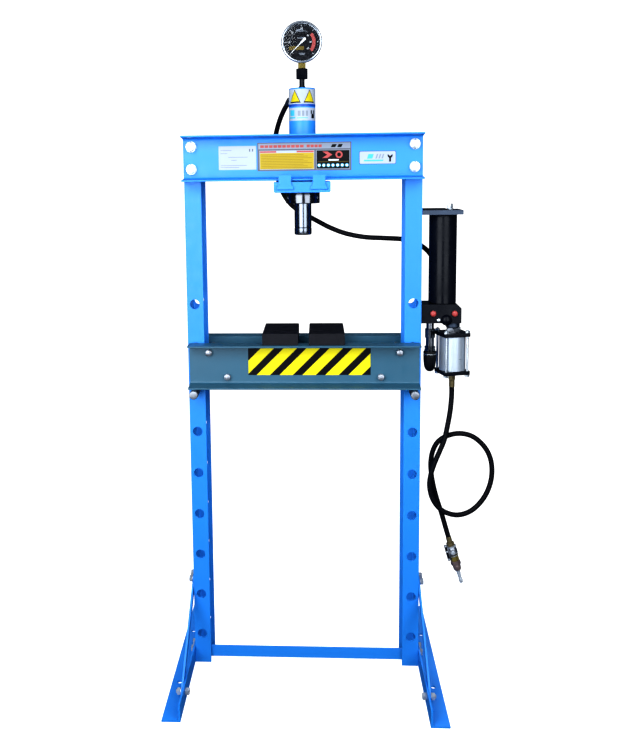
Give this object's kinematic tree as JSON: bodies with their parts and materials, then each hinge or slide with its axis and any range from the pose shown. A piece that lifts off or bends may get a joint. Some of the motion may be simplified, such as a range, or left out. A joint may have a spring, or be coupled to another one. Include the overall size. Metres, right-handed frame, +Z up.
{
  "type": "hydraulic shop press",
  "caption": "Floor-standing H-frame press: hydraulic ram on a sliding carriage, pinned height-adjustable bed with press blocks, air-driven pump on one post, gauge on top.",
  "frame": {"origin": "on the floor, at the bottom centre of the machine's box measured without the hoses; the middle between the posts is 39.35 mm to -X of it", "axes": "+Z up; the press faces -Y; +X is to the right of someone facing it, the pump's side"},
  "size_m": [0.9049, 0.64, 1.805],
  "materials": {
    "frame_blue": "satin blue enamel, lighter under the lights at the head",
    "bed_slate": "satin slate-blue enamel",
    "black_paint": "gloss black enamel",
    "zinc_steel": "bright zinc plate",
    "gauge_chrome": "polished bezel on a steel case",
    "ram_chrome": "dark hard chrome",
    "cast_black": "black oxide, rough sawn faces",
    "aluminium": "satin",
    "brass": "dull brass",
    "rubber": "matt black",
    "red_plastic": "moulded",
    "dial_black": "matt",
    "white_enamel": "satin",
    "clear_glass": "clear"
  },
  "bodies": {
    "root": {"post_left": "frame_blue", "post_right": "frame_blue", "head_channel_front": "frame_blue", "head_channel_rear": "frame_blue", "base_crossbar": "frame_blue", "foot_left": "frame_blue", "foot_right": "frame_blue", "brace_left_front": "frame_blue", "brace_left_rear": "frame_blue", "brace_right_front": "frame_blue", "brace_right_rear": "frame_blue", "oil_tank": "black_paint", "pump_manifold": "black_paint", "motor_head": "black_paint", "motor_base": "black_paint", "release_valve": "black_paint", "head_bolt_left_upper": "zinc_steel", "head_bolt_left_lower": "zinc_steel", "head_bolt_right_upper": "zinc_steel", "head_bolt_right_lower": "zinc_steel", "foot_bolt_left_front": "zinc_steel", "foot_bolt_left_rear": "zinc_steel", "foot_bolt_right_front": "zinc_steel", "foot_bolt_right_rear": "zinc_steel", "pump_bracket": "zinc_steel", "tank_bolt": "zinc_steel", "hose_fitting_manifold": "zinc_steel", "air_coupler": "zinc_steel", "motor_barrel": "aluminium", "air_inlet": "brass", "air_valve_body": "brass", "air_hose": "rubber", "hydraulic_hose": "rubber", "port_cap_left": "red_plastic", "port_cap_right": "red_plastic"},
    "carriage": {"cylinder_carriage": "frame_blue", "cylinder_barrel": "frame_blue", "cylinder_ring_nut": "black_paint", "gauge_pipe": "black_paint", "gauge_coupling": "black_paint", "gauge_case": "gauge_chrome", "gauge_dial": "dial_black", "gauge_lens": "clear_glass", "hose_fitting_cylinder": "zinc_steel"},
    "ram": {"ram": "ram_chrome", "ram_saddle": "ram_chrome"},
    "needle": {"gauge_needle": "white_enamel"},
    "bed": {"bed_channel_front": "bed_slate", "bed_channel_rear": "bed_slate", "bed_bolt_left_outer": "zinc_steel", "bed_bolt_left_inner": "zinc_steel", "bed_bolt_right_outer": "zinc_steel", "bed_bolt_right_inner": "zinc_steel"},
    "block_left": {"press_block_left": "cast_black"},
    "block_right": {"press_block_right": "cast_black"},
    "pin_left": {"bed_pin_left": "zinc_steel"},
    "pin_right": {"bed_pin_right": "zinc_steel"},
    "knob": {"release_knob": "rubber"},
    "valve_lever": {"air_valve_lever": "zinc_steel"},
    "motor_piston": {"air_piston": "zinc_steel"}
  },
  "joints": [
    {"name": "carriage_slide", "type": "slide", "parent": "root", "child": "carriage", "axis": [1, 0, 0], "range_m": [-0.1, 0.1], "deforming": ["hydraulic_hose"]},
    {"name": "ram_slide", "type": "slide", "parent": "carriage", "child": "ram", "axis": [0, 0, 1], "range_m": [-0.185, 0], "stiffness_N_per_m": 1500, "springref_m": 0.1},
    {"name": "gauge_needle_turn", "type": "hinge", "parent": "carriage", "child": "needle", "pos_m": [-0.03935, 0.009, 1.75], "axis": [0, 1, 0], "range_deg": [0, 270], "stiffness_Nm_per_rad": 0.005, "springref_deg": -11.46},
    {"name": "bed_lift", "type": "slide", "parent": "root", "child": "bed", "axis": [0, 0, 1], "range_m": [0, 0.23]},
    {"name": "block_left_slide", "type": "slide", "parent": "bed", "child": "block_left", "axis": [1, 0, 0], "range_m": [-0.15, 0.014]},
    {"name": "block_right_slide", "type": "slide", "parent": "bed", "child": "block_right", "axis": [1, 0, 0], "range_m": [-0.014, 0.15]},
    {"name": "pin_left_pull", "type": "slide", "parent": "root", "child": "pin_left", "axis": [0, -1, 0], "range_m": [0, 0.24]},
    {"name": "pin_right_pull", "type": "slide", "parent": "root", "child": "pin_right", "axis": [0, -1, 0], "range_m": [0, 0.24]},
    {"name": "release_knob_turn", "type": "hinge", "parent": "root", "child": "knob", "pos_m": [0.30815, 0, 0.882], "axis": [0, 0, 1], "range_deg": [0, 180]},
    {"name": "air_valve_turn", "type": "hinge", "parent": "root", "child": "valve_lever", "pos_m": [0.38044, 0.00317, 0.32571], "axis": [0, -1, 0], "range_deg": [0, 90]},
    {"name": "motor_piston_stroke", "type": "slide", "parent": "root", "child": "motor_piston", "axis": [0, 0, 1], "range_m": [0, 0.045], "stiffness_N_per_m": 100, "springref_m": -0.02}
  ]
}
